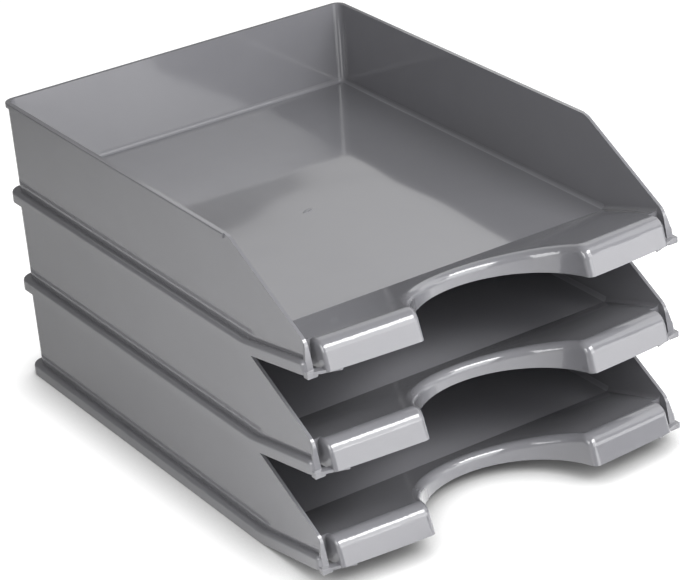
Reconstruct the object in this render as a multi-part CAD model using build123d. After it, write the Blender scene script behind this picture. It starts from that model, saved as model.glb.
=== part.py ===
# A stack of three identical letter trays, injection moulded in one piece each.
# A tray is a drafted wall on three sides, a floor that ramps up to a rolled front lip,
# a bowed front apron with an arched finger gap, and a skirt that drops over the rim below.
# +X is the tray's right, -Y its open front, +Z up. All sizes are in millimetres.
import os
from math import cos, radians, tan

from build123d import *

# --- overall sizes of one tray ---
tray_width = 255.0            # over the skirt
tray_depth = 349.0            # rear of the skirt to the corners beside the finger gap
tray_height = 66.5            # resting face to rim
tray_names = ("bottom_tray", "middle_tray", "top_tray")

# --- wall ---
wall = 2.0                    # thickness of walls, floor and apron
draft = 1.1                   # degrees that the walls open towards the rim
wall_corner = 6.0             # outer radius of the rear corners
rim_length = 263.0            # level rim, from the rear of the skirt to the bend
slope_angle = 28.5            # degrees below level of the cut side
side_length = 333.0           # rear of the skirt to the top of the side's front edge
side_edge_lean = 15.0         # degrees that the front edge leans forward, going down
bend_radius = 14.0
side_end_radius = 9.0

# --- bead along the rim ---
bead_proud = 1.0
bead_height = 3.0
bead_round = 0.8

# --- skirt that nests over the rim of the tray below ---
skirt_wall = 1.8
skirt_corner = 7.5
skirt_front_corner = 3.4
skirt_round = 2.6             # rounded shoulder between ledge and skirt face
ledge_height = 8.0            # resting face to the top of the ledge
rim_clearance = 0.3           # sideways, between the bead and the skirt around it
seat_gap = 0.2                # between the rim below and the ledge that sits on it
kick_start = 273.0            # rear of the skirt to where its underside turns up
kick_angle = 10.0             # degrees that skirt and ledge climb towards the front
kick_radius = 40.0

# --- floor and ramp ---
floor_height = 12.0           # resting face to the floor's upper side
floor_round = 2.4             # where the floor meets the walls
ramp_start = 280.0            # rear of the skirt to the foot of the ramp
ramp_angle = 16.9

# --- rolled lip and apron ---
bow_radius = 1000.0           # plan radius of the front
bow_bulge = 1.68              # how far the bow would pass the gap's corners
apron_lean = 20.0             # degrees off upright
apron_bottom = 13.0           # resting face to the apron's lower edge, at the bow
bottom_fall = 6.8             # degrees that the lower edge falls, going back
apron_start = 290.0           # the lower edge is open from here forward
lip_radius = 8.0
lip_inside_cut = 4.5          # flat cut inside the roll
arch_radius = 56.5            # finger gap, at the height of the apron's lower edge
arch_reach = 54.3             # how far the finger gap reaches in from the bow
arch_lean = 5.0               # degrees off upright
arch_round = 4.2              # along the whole cut edge of the finger gap
arch_inside_cut = 2.2         # flat cut inside that rounded edge

# --- slots between the apron and the side walls ---
slot_width = 4.6
slot_start = 328.0            # rear of the skirt to the slot's closed end
apron_end_round = 2.2

# --- flange at the front end of each side, and the bridge and nub beside it ---
flange_thickness = 1.8
flange_proud = 2.0
flange_top = 27.0
bridge_thickness = 1.8
bridge_length = 9.0           # along the apron's lower edge, from the slot inward
bridge_depth = 3.0
nub_width = 6.6
nub_proud = 2.0               # forward of the side's front edge
nub_drop = 4.0                # below the top of the bridge
nub_round = 0.9

# --- worked out from the sizes above ---
half_width = tray_width / 2
rear = tray_depth / 2
bead_half = half_width - skirt_wall - rim_clearance
rim_half = bead_half - bead_proud
skirt_over_rim = half_width - rim_half
wall_spread = tray_height * tan(radians(draft))
foot_half = rim_half - wall_spread
foot_rear = rear - skirt_over_rim - wall_spread
stack_pitch = tray_height - (ledge_height - wall) + seat_gap
bend_y = rear - rim_length
side_end_y = rear - side_length
side_end_z = tray_height - (bend_y - side_end_y) * tan(radians(slope_angle))
kick_y = rear - kick_start
ramp_y = rear - ramp_start
slot_y = rear - slot_start
reach = tray_depth            # construction blocks run at least this far past the tray
sheet_half = 1.1 * half_width  # the lip is made on a sheet a little wider than the tray
sheet_back = ramp_y / 2        # and joined to the level floor well ahead of this line


def kick_rise(y):
    return max(0.0, kick_y - y) * tan(radians(kick_angle))


def ramp_surface(y):
    return floor_height + (ramp_y - y) * tan(radians(ramp_angle))


def wall_half_at(z):
    return foot_half + z * tan(radians(draft))


def side_edge_y(z):
    return side_end_y - (side_end_z - z) * tan(radians(side_edge_lean))


side_foot_z = kick_rise(side_end_y - side_end_z * tan(radians(side_edge_lean)) / 2)
side_foot_y = side_edge_y(side_foot_z)
slot_inner_x = wall_half_at(apron_bottom) - wall - slot_width
floor_edge = wall / 2 - floor_height * tan(radians(draft))   # floor edges end mid-wall


def plan(half, back, front, corner, front_corner=0.0):
    """Outline seen from above, rounded at the rear and, if asked, at the front."""
    outline = Pos(0, (back + front) / 2) * Rectangle(2 * half, back - front)
    outline = fillet(outline.vertices().group_by(Axis.Y)[-1], corner)
    if front_corner:
        outline = fillet(outline.vertices().group_by(Axis.Y)[0], front_corner)
    return outline


def side_prism(points, rounds=()):
    """Prism across the tray with the given outline in Y and Z; rounds are (index, radius)."""
    outline = make_face(Polyline(*points, close=True))
    for index, radius in rounds:
        y, z = points[index]
        corner = outline.vertices().sort_by_distance((y, z, 0))[0]
        outline = fillet(corner, radius)
    upright = Plane(origin=(-reach, 0, 0), x_dir=(0, 1, 0), z_dir=(1, 0, 0))
    return extrude(upright * outline, 2 * reach)


def block(x_low, x_high, y_low, y_high, z_low, z_high):
    middle = Pos((x_low + x_high) / 2, (y_low + y_high) / 2, (z_low + z_high) / 2)
    return middle * Box(x_high - x_low, y_high - y_low, z_high - z_low)


def side_outline():
    """Everything the walls and skirt may fill, seen from the side."""
    points = [
        (reach, 0),
        (kick_y, 0),
        (side_foot_y, side_foot_z),
        (side_end_y, side_end_z),
        (bend_y, tray_height),
        (reach, tray_height),
    ]
    return side_prism(points, [(1, kick_radius), (3, side_end_radius), (4, bend_radius)])


def behind_side_edge(offset):
    """Space behind the sides' leaning front edge, starting the given distance back."""
    points = [
        (side_edge_y(-reach) + offset, -reach),
        (side_edge_y(reach) + offset, reach),
        (reach, reach),
        (reach, -reach),
    ]
    return side_prism(points)


def under_ledge(drop):
    """Space below the ledge line, lowered by drop; the line climbs with the skirt."""
    height = ledge_height - drop
    points = [
        (reach, height),
        (kick_y, height),
        (-reach, height + kick_rise(-reach)),
        (-reach, -reach),
        (reach, -reach),
    ]
    return side_prism(points, [(1, kick_radius)])


def under_floor(drop):
    """Space below the floor and its ramp, lowered by drop square to the surface."""
    foot_y = ramp_y + drop * tan(radians(ramp_angle / 2))
    front_drop = drop / cos(radians(ramp_angle))
    points = [
        (reach, floor_height - drop),
        (foot_y, floor_height - drop),
        (-reach, ramp_surface(-reach) - front_drop),
        (-reach, -reach),
        (reach, -reach),
    ]
    return side_prism(points)


def wall_block(inset, past=0.0):
    """Drafted block inside the walls' outer faces, moved in by inset."""
    narrow = past * tan(radians(draft)) + inset
    outline = plan(foot_half - narrow, foot_rear - narrow, -reach, wall_corner - inset)
    return extrude(Pos(0, 0, -past) * outline, tray_height + 2 * past, taper=-draft)


def skirt_block():
    """Solid filled by skirt and ledge, its shoulder and front corners rounded."""
    front = side_edge_y(ledge_height)
    outline = plan(half_width, rear, -reach, skirt_corner)
    body = extrude(outline, tray_height) & under_ledge(0) & side_outline()
    upright = [edge for edge in body.edges() if is_front_corner(edge, front)]
    body = fillet(upright, skirt_front_corner)
    ledge = body.faces().filter_by(lambda face: face.normal_at().Z > 0.5)
    inside = [edge for face in ledge for edge in face.edges()]
    shoulder = [edge for edge in inside if not is_shared(edge, ledge)]
    return fillet(shoulder, skirt_round)


def is_front_corner(edge, front):
    middle = edge.center()
    return middle.Y < front + wall and half_width - abs(middle.X) < 0.01 and edge.length > wall


def is_shared(edge, faces):
    middle = edge.center()
    return sum(1 for face in faces if face.distance_to(middle) < 0.001) > 1


def skirt_hollow():
    """Space that the rim of the tray below enters."""
    outline = plan(half_width - skirt_wall, rear - skirt_wall, -reach, skirt_corner - skirt_wall)
    body = extrude(Pos(0, 0, -wall) * outline, tray_height)
    return body & under_ledge(wall) & behind_side_edge(flange_thickness)


def bead_band():
    front = bend_y + bend_radius * tan(radians(slope_angle / 2))
    outline = plan(bead_half, rear - half_width + bead_half, front, wall_corner + bead_proud)
    body = extrude(Pos(0, 0, tray_height - bead_height) * outline, bead_height)
    outer = [edge for edge in body.edges() if edge.center().Y > front + 0.01]
    outer = [edge for edge in outer if edge.center().Z > tray_height - 0.01]
    return fillet(outer, bead_round)


def flange():
    """Thin rib that closes the front end of each side, tapering into the wall."""
    foot = wall_half_at(ledge_height) + flange_proud
    top = wall_half_at(flange_top)
    side = [
        (foot_half - wall / 2, ledge_height),
        (foot, ledge_height),
        (foot, ledge_height + kick_rise(side_end_y)),
        (top, flange_top),
        (foot_half - wall / 2, flange_top),
    ]
    rib = extrude(Plane.XZ * make_face(Polyline(*side, close=True)), reach)
    rib = rib & side_outline()
    rib = rib - behind_side_edge(flange_thickness)
    return rib + mirror(rib, Plane.YZ)


def bridge():
    """Bar under the apron's end that ties it to the side below the slot, with a nub."""
    inner_x = slot_inner_x - bridge_length
    outer_x = half_width - skirt_wall / 4
    bow_y = inner_x ** 2 / (2 * bow_radius) - rear - bow_bulge + 0.2
    front = side_foot_y - nub_proud
    points = [
        (outer_x - nub_width, front - nub_proud / 2),
        (inner_x, bow_y),
        (inner_x, bow_y + bridge_depth),
        (outer_x - nub_width, side_foot_y + flange_thickness),
        (outer_x - nub_width / 2, side_foot_y + flange_thickness),
        (outer_x - nub_width / 2, front),
    ]
    bar = extrude(make_face(Polyline(*points, close=True)), bridge_thickness)
    bar = Pos(0, 0, apron_bottom - bridge_thickness) * bar
    nub = block(outer_x - nub_width, outer_x, front, side_foot_y + flange_thickness,
                apron_bottom - nub_drop, apron_bottom)
    nub = fillet(nub.edges().group_by(Axis.Z)[0], nub_round)
    half = bar + nub
    return half + mirror(half, Plane.YZ)


def apron_block(inset):
    """Solid under floor and lip before the finger gap is cut, leaning in along the bow."""
    lean = radians(apron_lean)
    start = -wall
    grow = (apron_bottom - start) * tan(lean) - inset / cos(lean)
    bow_y = -rear - bow_bulge + bow_radius
    sheet = Pos(0, (sheet_back - reach) / 2) * Rectangle(2 * sheet_half, sheet_back + reach)
    sheet = sheet & Pos(0, bow_y) * Circle(bow_radius + grow)
    body = extrude(Pos(0, 0, start) * sheet, 4 * apron_bottom, taper=apron_lean)
    return body & under_floor(inset)


def gap_cutter(grow):
    """Round tool shape of the finger gap, a little wider at the top."""
    lean = radians(arch_lean)
    gap_y = -rear - bow_bulge + arch_reach - arch_radius
    foot = arch_radius + (grow / cos(lean) - (apron_bottom + reach) * tan(lean))
    top = foot + 2 * reach * tan(lean)
    return Pos(0, gap_y, 0) * Cone(foot, top, 2 * reach)


def floor_block(inset):
    """Solid under the level floor, overlapping the lip's sheet."""
    start = (ramp_y + sheet_back) / 2
    return block(-sheet_half, sheet_half, start, reach, -wall, floor_height - inset)


def lip_edges(body):
    return [edge for edge in body.edges() if edge.geom_type == GeomType.ELLIPSE]


def gap_edges(body):
    """Edges all round the finger gap, over the ramp and down the apron's corners."""
    cut = body.faces().filter_by(GeomType.CONE).sort_by(Axis.Y)[-1]
    return [edge for edge in cut.edges() if edge.center().Z > 0]


def rolled_lip():
    """The apron block with its lip rolled over, and the finger gap's edge rounded."""
    body = apron_block(0)
    body = fillet(lip_edges(body), lip_radius)
    body = body - gap_cutter(0)
    return fillet(gap_edges(body), arch_round)


def lip_hollow():
    """Space inside the lip, cut across its corner so that the roll keeps its thickness."""
    body = apron_block(wall)
    body = chamfer(lip_edges(body), lip_inside_cut)
    body = body - gap_cutter(wall)
    return chamfer(gap_edges(body), arch_inside_cut)


def under_lower_edge():
    """Space below the apron's lower edge, which falls a little towards the rear."""
    start = rear - apron_start
    fall = tan(radians(bottom_fall))
    points = [
        (start, -reach),
        (start, apron_bottom - (start + rear) * fall),
        (-reach, apron_bottom + (reach - rear) * fall),
        (-reach, -reach),
    ]
    return side_prism(points)


def floor_and_lip():
    """Floor, ramp, rolled lip and apron; open underneath, closed at the slots."""
    body = rolled_lip() + floor_block(0)
    outline = plan(foot_half - floor_edge, foot_rear - floor_edge, slot_y, wall_corner - floor_edge)
    outline = outline + Pos(0, slot_y - reach / 2 + wall) * Rectangle(2 * slot_inner_x, reach)
    body = body & extrude(Pos(0, 0, -reach) * outline, 2 * reach)
    ends = [edge for edge in body.edges() if is_end_edge(edge)]
    body = fillet(ends, apron_end_round)
    hollow = block(-reach, reach, slot_y + wall, reach, -reach, reach)
    hollow = hollow + block(wall - slot_inner_x, slot_inner_x - wall, -reach, reach, -reach, reach)
    body = body - ((lip_hollow() + floor_block(wall)) & hollow)
    return body - under_lower_edge()


def is_end_edge(edge):
    middle = edge.center()
    outer = abs(abs(middle.X) - slot_inner_x) < 0.01
    return outer and middle.Y < slot_y - 0.01 and middle.Z > apron_bottom / 2 and edge.length > 1


def is_floor_seam(edge):
    """True where the upper side of the floor or ramp meets a wall."""
    middle = edge.center()
    surface = max(floor_height, ramp_surface(middle.Y))
    on_floor = -0.01 < middle.Z - surface < wall / 4
    by_side = abs(middle.X) > wall_half_at(middle.Z) - wall - 0.1
    by_rear = middle.Y > foot_rear - wall_corner
    return on_floor and middle.Y > slot_y and (by_side or by_rear)


def make_tray():
    shell = wall_block(0) & side_outline()
    shell = shell + skirt_block()
    shell = shell + (bead_band() & side_outline())
    shell = shell - skirt_hollow()
    shell = shell + flange()
    shell = shell - wall_block(wall, past=wall)
    tray = shell + floor_and_lip() + bridge()
    return fillet([edge for edge in tray.edges() if is_floor_seam(edge)], floor_round)


os.makedirs("parts", exist_ok=True)
tray = make_tray()
for level, name in enumerate(tray_names):
    placed = Pos(0, 0, level * stack_pitch) * tray
    placed.label = name
    export_step(placed, f"parts/{name}.step")
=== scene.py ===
from math import cos, pi, radians, sin

import bpy
from mathutils import Matrix, Vector


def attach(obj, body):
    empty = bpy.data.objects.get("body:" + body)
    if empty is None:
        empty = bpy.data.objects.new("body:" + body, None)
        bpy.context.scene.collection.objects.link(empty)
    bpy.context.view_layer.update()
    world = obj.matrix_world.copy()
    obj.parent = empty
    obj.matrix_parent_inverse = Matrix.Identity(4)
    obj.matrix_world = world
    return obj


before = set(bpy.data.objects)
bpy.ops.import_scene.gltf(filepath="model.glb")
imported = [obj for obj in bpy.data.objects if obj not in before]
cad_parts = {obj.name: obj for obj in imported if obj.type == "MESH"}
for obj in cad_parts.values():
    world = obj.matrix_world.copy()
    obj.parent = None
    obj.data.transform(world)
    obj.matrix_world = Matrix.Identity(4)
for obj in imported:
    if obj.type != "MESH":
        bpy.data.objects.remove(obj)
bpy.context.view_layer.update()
print("frame loaded:", ", ".join(sorted(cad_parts)))

scene = bpy.context.scene
scene.view_settings.view_transform = "Standard"


def toLinear(level):
    s = level / 255.0
    return s / 12.92 if s <= 0.04045 else ((s + 0.055) / 1.055) ** 2.4


def grey(level, cool=0.0):
    # screen level 0-255, cool lifts blue a little
    return (toLinear(level), toLinear(level), toLinear(level + cool), 1.0)


def heading(azimuth, elevation):
    # azimuth 0 is the open front (-Y) and grows towards +X
    a, e = radians(azimuth), radians(elevation)
    return Vector((sin(a) * cos(e), -cos(a) * cos(e), sin(e)))


def axes(away):
    right = Vector((0, 0, 1)).cross(away).normalized()
    return right, away.cross(right)


def addNode(tree, kind, **values):
    # a node with its properties and unlinked inputs set by name
    node = tree.nodes.new(kind)
    for name, value in values.items():
        if name in node.inputs:
            node.inputs[name].default_value = value
        else:
            setattr(node, name, value)
    return node


def feed(tree, socket, term):
    # a term is another node's output or a plain value
    if isinstance(term, bpy.types.NodeSocket):
        tree.links.new(term, socket)
    else:
        socket.default_value = term


def combine(tree, operation, *terms):
    node = addNode(tree, "ShaderNodeMath", operation=operation)
    for socket, term in zip(node.inputs, terms):
        feed(tree, socket, term)
    return node.outputs[0]


def ramp(tree, value, toMin, toMax, span=(0.0, 1.0), form="LINEAR"):
    node = addNode(tree, "ShaderNodeMapRange", interpolation_type=form)
    terms = {"Value": value, "From Min": span[0], "From Max": span[1], "To Min": toMin, "To Max": toMax}
    for name, term in terms.items():
        feed(tree, node.inputs[name], term)
    return node.outputs["Result"]


def addTerms(tree, terms, results):
    for direction, sockets in (("INPUT", terms), ("OUTPUT", results)):
        for name, kind in sockets.items():
            tree.interface.new_socket(name, in_out=direction, socket_type="NodeSocket" + kind)
    return addNode(tree, "NodeGroupInput").outputs, addNode(tree, "NodeGroupOutput").inputs


# the camera stands to the left of the open front, its pose fitted to the photograph's edges
photoView = {
    "azimuth": -32.2034,
    "elevation": 26.0985,
    "roll": -4.148,
    "distance": 1.64383,
    "target": (0.0, 0.0015, 0.095),
    "slide": (0.00258, -0.0131),
    "lens": 144.54,
    "sensor": 36.0,
    "farthest": 50.0,
}


def makeCamera(view):
    back = heading(view["azimuth"], view["elevation"])
    right, up = axes(back)
    roll = radians(view["roll"])
    camRight = cos(roll) * right + sin(roll) * up
    camUp = -sin(roll) * right + cos(roll) * up
    place = Vector(view["target"]) + back * view["distance"]
    place += camRight * view["slide"][0] + camUp * view["slide"][1]
    data = bpy.data.cameras.new("photoCamera")
    data.lens = view["lens"]
    data.sensor_width = view["sensor"]
    data.sensor_fit = "HORIZONTAL"
    data.clip_end = view["farthest"]
    camera = bpy.data.objects.new("photoCamera", data)
    turn = Matrix((camRight, camUp, back)).transposed().to_4x4()
    camera.matrix_world = Matrix.Translation(place) @ turn
    scene.collection.objects.link(camera)
    scene.camera = camera


makeCamera(photoView)
print("camera placed")


# soft boxes round the stack, each with its heading, distance, size and glow
studioAim = Vector((0.0, 0.0, 0.09))
softBoxes = {
    "highKey": {"heading": (12, 46), "distance": 1.2, "size": (1.1, 0.4), "glow": 10.8},
    "lowKey": {"heading": (12, 25), "distance": 1.2, "size": (1.17, 0.5), "glow": 3.2},
    "rightBox": {"heading": (72, 30), "distance": 1.2, "size": (0.85, 0.75), "glow": 1.2},
    "rearBox": {"heading": (148, 35), "distance": 1.6, "size": (2.4, 1.2), "glow": 0.68,
                "tilt": 27.2, "shift": (-0.224, 0.243)},
    "leftBox": {"heading": (-66, 18), "distance": 0.65, "size": (0.35, 0.3), "glow": 4.5},
    "frontCard": {"heading": (26, 9), "distance": 1.4, "size": (1.9, 0.4), "glow": 2.3},
}


def addSoftBox(name, box):
    data = bpy.data.lights.new(name, "AREA")
    data.shape = "RECTANGLE"
    data.size, data.size_y = box["size"]
    data.energy = box["glow"] * pi * box["size"][0] * box["size"][1]
    lamp = bpy.data.objects.new(name, data)
    away = heading(*box["heading"])
    right, up = axes(away)
    across, rise = box.get("shift", (0.0, 0.0))
    place = studioAim + away * box["distance"] + right * across + up * rise
    tilt = radians(box.get("tilt", 0.0))
    side = cos(tilt) * right + sin(tilt) * up
    turn = Matrix((side, away.cross(side), away)).transposed().to_4x4()
    lamp.matrix_world = Matrix.Translation(place) @ turn
    lamp.visible_camera = False
    scene.collection.objects.link(lamp)


for boxName, box in softBoxes.items():
    addSoftBox(boxName, box)
print("soft boxes placed:", len(softBoxes))


# white where the camera sees it, dimmer in the gloss and dimmer still as a light
worldLook = {"seen": 1.0, "mirrored": 0.22, "light": 0.05}


def makeWorld(look):
    world = bpy.data.worlds.new("whiteStudio")
    scene.world = world
    world.use_nodes = True
    tree = world.node_tree
    tree.nodes.clear()
    path = addNode(tree, "ShaderNodeLightPath").outputs
    direct = combine(tree, "MAXIMUM", path["Is Camera Ray"], path["Is Transmission Ray"])
    around = ramp(tree, path["Is Glossy Ray"], look["light"], look["mirrored"])
    background = addNode(tree, "ShaderNodeBackground", Color=(1.0, 1.0, 1.0, 1.0))
    feed(tree, background.inputs["Strength"], ramp(tree, direct, around, look["seen"]))
    out = addNode(tree, "ShaderNodeOutputWorld")
    feed(tree, out.inputs["Surface"], background.outputs[0])


makeWorld(worldLook)


# a pale floor that keeps the lamps' shadow, adds a painted contact shadow round the base, and fades out
# into the white world
stageLook = {
    "radius": 1.6,
    "fade": (0.35, 1.1),
    "tone": 0.8,
    "seenTone": 0.2,
    "lift": 1.15,
    "mirroredLift": 0.12,
    "paintedShadowReach": 0.04,
    "paintedShadowSamples": 16,
    "paintedShadowFirmness": 1.8,
}


def makeStageMaterial(look):
    material = bpy.data.materials.new("paleFloor")
    material.use_nodes = True
    tree = material.node_tree
    tree.nodes.clear()
    coords = addNode(tree, "ShaderNodeTexCoord")
    length = addNode(tree, "ShaderNodeVectorMath", operation="LENGTH")
    feed(tree, length.inputs[0], coords.outputs["Object"])
    fade = ramp(tree, length.outputs["Value"], 0.0, 1.0, look["fade"], "SMOOTHSTEP")
    path = addNode(tree, "ShaderNodeLightPath").outputs
    diffuse = addNode(tree, "ShaderNodeBsdfDiffuse")
    tone = ramp(tree, path["Is Camera Ray"], look["tone"], look["seenTone"])
    feed(tree, diffuse.inputs["Color"], tone)
    # painted contact shadow: ambient occlusion, not the lamps, dims what lifts the floor to white
    paintedShadow = addNode(tree, "ShaderNodeAmbientOcclusion", samples=look["paintedShadowSamples"])
    paintedShadow.inputs["Distance"].default_value = look["paintedShadowReach"]
    firm = combine(tree, "POWER", paintedShadow.outputs["AO"], look["paintedShadowFirmness"])
    white = combine(tree, "MULTIPLY", path["Is Camera Ray"], look["lift"])
    seen = combine(tree, "MULTIPLY", white, firm)
    glow = addNode(tree, "ShaderNodeEmission")
    lift = combine(tree, "MULTIPLY_ADD", path["Is Glossy Ray"], look["mirroredLift"], seen)
    feed(tree, glow.inputs["Strength"], lift)
    add = addNode(tree, "ShaderNodeAddShader")
    feed(tree, add.inputs[0], diffuse.outputs[0])
    feed(tree, add.inputs[1], glow.outputs[0])
    clear = addNode(tree, "ShaderNodeBsdfTransparent")
    mix = addNode(tree, "ShaderNodeMixShader")
    for socket, term in zip(mix.inputs, (fade, add.outputs[0], clear.outputs[0])):
        feed(tree, socket, term)
    out = addNode(tree, "ShaderNodeOutputMaterial")
    feed(tree, out.inputs["Surface"], mix.outputs[0])
    return material


def makeFloor(look):
    data = bpy.data.meshes.new("paleFloor")
    r = look["radius"]
    data.from_pydata([(-r, -r, 0), (r, -r, 0), (r, r, 0), (-r, r, 0)], [], [(0, 1, 2, 3)])
    data.materials.append(makeStageMaterial(look))
    floor = bpy.data.objects.new("paleFloor", data)
    scene.collection.objects.link(floor)


makeFloor(stageLook)
print("stage made")


def makeMouldSkin():
    # broad flexing of the thin sheet under the fine orange peel of the polished mould
    tree = bpy.data.node_groups.new("mouldSkin", "ShaderNodeTree")
    terms = {
        "Place": "Vector",
        "Flex Scale": "Float",
        "Flex Depth": "Float",
        "Peel Scale": "Float",
        "Peel Depth": "Float",
    }
    given, made = addTerms(tree, terms, {"Height": "Float"})
    flex = addNode(tree, "ShaderNodeTexNoise", Detail=0.0, Distortion=0.4)
    peel = addNode(tree, "ShaderNodeTexNoise", Detail=1.5, Roughness=0.4)
    for noise, term in ((flex, "Flex"), (peel, "Peel")):
        feed(tree, noise.inputs["Vector"], given["Place"])
        feed(tree, noise.inputs["Scale"], given[term + " Scale"])
    deep = combine(tree, "MULTIPLY", flex.outputs["Fac"], given["Flex Depth"])
    both = combine(tree, "MULTIPLY_ADD", peel.outputs["Fac"], given["Peel Depth"], deep)
    feed(tree, made["Height"], both)
    return tree


def dustySeam(tree, given):
    # dust settled in the seam round each level floor, up the small radius to the walls
    apart = addNode(tree, "ShaderNodeSeparateXYZ")
    feed(tree, apart.inputs[0], given["Place"])
    within = combine(tree, "FLOORED_MODULO", apart.outputs["Z"], given["Pitch"])
    above = combine(tree, "SUBTRACT", within, given["Floor"])
    share = combine(tree, "DIVIDE", above, given["Radius"])
    rising = ramp(tree, share, 0.0, 1.0, (0.0, 0.12), "SMOOTHSTEP")
    falling = ramp(tree, share, 1.0, 0.0, (0.9, 1.5), "SMOOTHSTEP")
    band = combine(tree, "MULTIPLY", rising, falling)
    behind = combine(tree, "GREATER_THAN", apart.outputs["Y"], given["Ramp Line"])
    onLevel = combine(tree, "MULTIPLY", band, behind)
    return combine(tree, "MULTIPLY", onLevel, given["Dust"])


def makeHandling():
    # uneven pigment, a polish dulled where it is rubbed, and a dusty seam
    tree = bpy.data.node_groups.new("handling", "ShaderNodeTree")
    terms = {
        "Place": "Vector",
        "Pigment": "Color",
        "Drift": "Float",
        "Polish": "Float",
        "Gloss": "Float",
        "Rub Scale": "Float",
        "Rub Depth": "Float",
        "Pitch": "Float",
        "Floor": "Float",
        "Radius": "Float",
        "Ramp Line": "Float",
        "Dust": "Float",
        "Dust Roughness": "Float",
    }
    given, made = addTerms(tree, terms, {"Color": "Color", "Roughness": "Float", "Coat Weight": "Float"})
    cloud = addNode(tree, "ShaderNodeTexNoise", Detail=3.0, Roughness=0.6)
    feed(tree, cloud.inputs["Vector"], given["Place"])
    feed(tree, cloud.inputs["Scale"], given["Rub Scale"])
    centred = combine(tree, "SUBTRACT", cloud.outputs["Fac"], 0.5)
    drift = combine(tree, "MULTIPLY_ADD", centred, given["Drift"], 1.0)
    tint = addNode(tree, "ShaderNodeVectorMath", operation="SCALE")
    feed(tree, tint.inputs[0], given["Pigment"])
    feed(tree, tint.inputs["Scale"], drift)
    rub = ramp(tree, cloud.outputs["Fac"], 0.0, 1.0, (0.5, 0.75), "SMOOTHSTEP")
    dull = combine(tree, "MULTIPLY_ADD", rub, given["Rub Depth"], given["Polish"])
    dusty = dustySeam(tree, given)
    clean = combine(tree, "SUBTRACT", 1.0, dusty)
    feed(tree, made["Color"], tint.outputs[0])
    rough = combine(tree, "MULTIPLY_ADD", dusty, given["Dust Roughness"], dull)
    feed(tree, made["Roughness"], rough)
    feed(tree, made["Coat Weight"], combine(tree, "MULTIPLY", given["Gloss"], clean))
    return tree


# effects the plastics share, each a group with named terms
mouldSkin = makeMouldSkin()
handling = makeHandling()


def makePlastic(name, look):
    material = bpy.data.materials.new(name)
    material.use_nodes = True
    tree = material.node_tree
    shader = tree.nodes["Principled BSDF"]
    shader.inputs["IOR"].default_value = look["ior"]
    shader.inputs["Coat Roughness"].default_value = look["glossRoughness"]
    coords = addNode(tree, "ShaderNodeTexCoord")
    worn = addNode(tree, "ShaderNodeGroup", node_tree=handling)
    worn.inputs["Pigment"].default_value = grey(look["level"], look["cool"])
    skin = addNode(tree, "ShaderNodeGroup", node_tree=mouldSkin)
    for group, settings in ((worn, look["handling"]), (skin, look["skin"])):
        feed(tree, group.inputs["Place"], coords.outputs["Object"])
        for term, value in settings.items():
            group.inputs[term].default_value = value
    feed(tree, shader.inputs["Base Color"], worn.outputs["Color"])
    feed(tree, shader.inputs["Roughness"], worn.outputs["Roughness"])
    feed(tree, shader.inputs["Coat Weight"], worn.outputs["Coat Weight"])
    bump = addNode(tree, "ShaderNodeBump", Strength=1.0, Distance=0.001)
    feed(tree, bump.inputs["Height"], skin.outputs["Height"])
    feed(tree, shader.inputs["Normal"], bump.outputs["Normal"])
    feed(tree, shader.inputs["Coat Normal"], bump.outputs["Normal"])
    return material


# glossy grey moulded plastic, places in metres, scales per metre and bump depths in millimetres
stackPitch = 0.0607
floorHeight = 0.012
trayPlastic = {
    "level": 116,
    "cool": 4,
    "ior": 1.5,
    "glossRoughness": 0.06,
    "handling": {
        "Drift": 0.1,
        "Polish": 0.12,
        "Gloss": 1.0,
        "Rub Scale": 24.0,
        "Rub Depth": 0.06,
        "Pitch": stackPitch,
        "Floor": floorHeight,
        "Radius": 0.0024,
        "Ramp Line": -0.1055,
        "Dust": 0.85,
        "Dust Roughness": 0.5,
    },
    "skin": {
        "Flex Scale": 11.0,
        "Flex Depth": 0.5,
        "Peel Scale": 900.0,
        "Peel Depth": 0.003,
    },
}
plastic = makePlastic("trayPlastic", trayPlastic)
for name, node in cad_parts.items():
    node.data.materials.clear()
    node.data.materials.append(plastic)
print("trays finished in plastic")


# the moulding gate leaves a small oval scar, dished in the middle, on each floor
gateScar = {
    "place": (-0.0112, 0.0102),
    "length": 0.0075,
    "width": 0.0036,
    "rise": 0.0004,
    "dish": 0.9,
    "turn": 17.0,
}
# paler and less polished than the floor round it
scarPlastic = {
    "level": 128,
    "cool": trayPlastic["cool"],
    "ior": trayPlastic["ior"],
    "glossRoughness": 0.12,
    "handling": dict(trayPlastic["handling"], Polish=0.3, Gloss=0.7),
    "skin": dict(trayPlastic["skin"], **{"Peel Depth": 0.006}),
}


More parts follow.
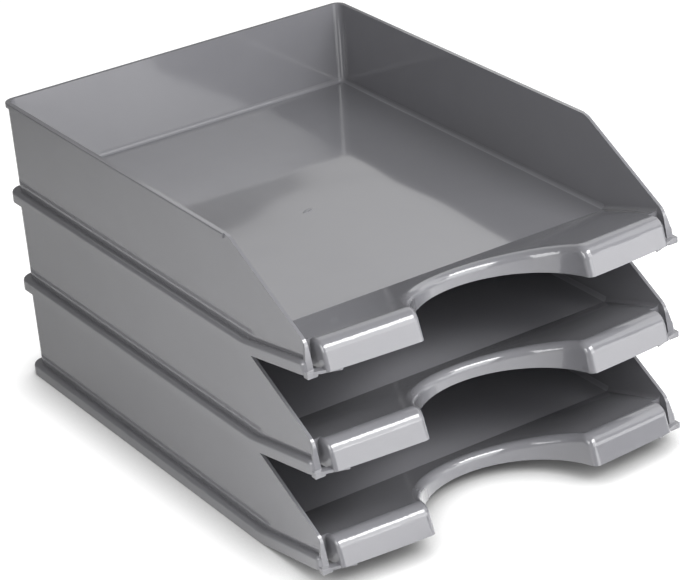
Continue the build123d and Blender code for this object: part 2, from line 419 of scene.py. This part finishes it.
def makeScarTree():
    tree = bpy.data.node_groups.new("gateScar", "GeometryNodeTree")
    terms = {
        "Place": "Vector",
        "Size": "Vector",
        "Dish": "Float",
        "Turn": "Vector",
        "Plastic": "Material",
    }
    given, made = addTerms(tree, terms, {"Scar": "Geometry"})
    blob = addNode(tree, "GeometryNodeMeshUVSphere", Segments=28, Rings=14)
    apart = addNode(tree, "ShaderNodeSeparateXYZ")
    feed(tree, apart.inputs[0], addNode(tree, "GeometryNodeInputPosition").outputs["Position"])
    x, y, z = apart.outputs
    reach = combine(tree, "MULTIPLY_ADD", y, y, combine(tree, "MULTIPLY", x, x))
    middle = ramp(tree, reach, 1.0, 0.0, (0.0, 0.5), "SMOOTHSTEP")
    depth = combine(tree, "MULTIPLY", middle, combine(tree, "MAXIMUM", z, 0.0))
    down = addNode(tree, "ShaderNodeVectorMath", operation="SCALE")
    down.inputs[0].default_value = (0.0, 0.0, -1.0)
    feed(tree, down.inputs["Scale"], combine(tree, "MULTIPLY", depth, given["Dish"]))
    dished = addNode(tree, "GeometryNodeSetPosition")
    feed(tree, dished.inputs["Geometry"], blob.outputs["Mesh"])
    feed(tree, dished.inputs["Offset"], down.outputs[0])
    point = addNode(tree, "GeometryNodePoints")
    feed(tree, point.inputs["Position"], given["Place"])
    put = addNode(tree, "GeometryNodeInstanceOnPoints")
    placed = {
        "Points": point.outputs[0],
        "Instance": dished.outputs["Geometry"],
        "Rotation": given["Turn"],
        "Scale": given["Size"],
    }
    for name, term in placed.items():
        feed(tree, put.inputs[name], term)
    scar = put.outputs["Instances"]
    for kind in ("RealizeInstances", "SetShadeSmooth", "SetMaterial"):
        step = addNode(tree, "GeometryNode" + kind)
        feed(tree, step.inputs["Geometry"], scar)
        scar = step.outputs["Geometry"]
    feed(tree, step.inputs["Material"], given["Plastic"])
    feed(tree, made["Scar"], scar)
    return tree


def addScar(body, level, tree, look, material):
    holder = bpy.data.objects.new(body + "_gate", bpy.data.meshes.new(body + "_gate"))
    scene.collection.objects.link(holder)
    grow = holder.modifiers.new("gateScar", "NODES")
    grow.node_group = tree
    values = {
        "Place": (*look["place"], floorHeight + level * stackPitch),
        "Size": (look["length"] / 2, look["width"] / 2, look["rise"]),
        "Dish": look["dish"],
        "Turn": (0.0, 0.0, radians(look["turn"])),
        "Plastic": material,
    }
    for item in tree.interface.items_tree:
        if item.name in values:
            grow[item.identifier] = values[item.name]
    ready = holder.evaluated_get(bpy.context.evaluated_depsgraph_get())
    data = bpy.data.meshes.new_from_object(ready)
    holder.modifiers.remove(grow)
    holder.data = data
    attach(holder, body)


scarTree = makeScarTree()
scarMaterial = makePlastic("scarPlastic", scarPlastic)
for level, body in enumerate(("bottom_tray", "middle_tray", "top_tray")):
    addScar(body, level, scarTree, gateScar, scarMaterial)
print("gate scars made")
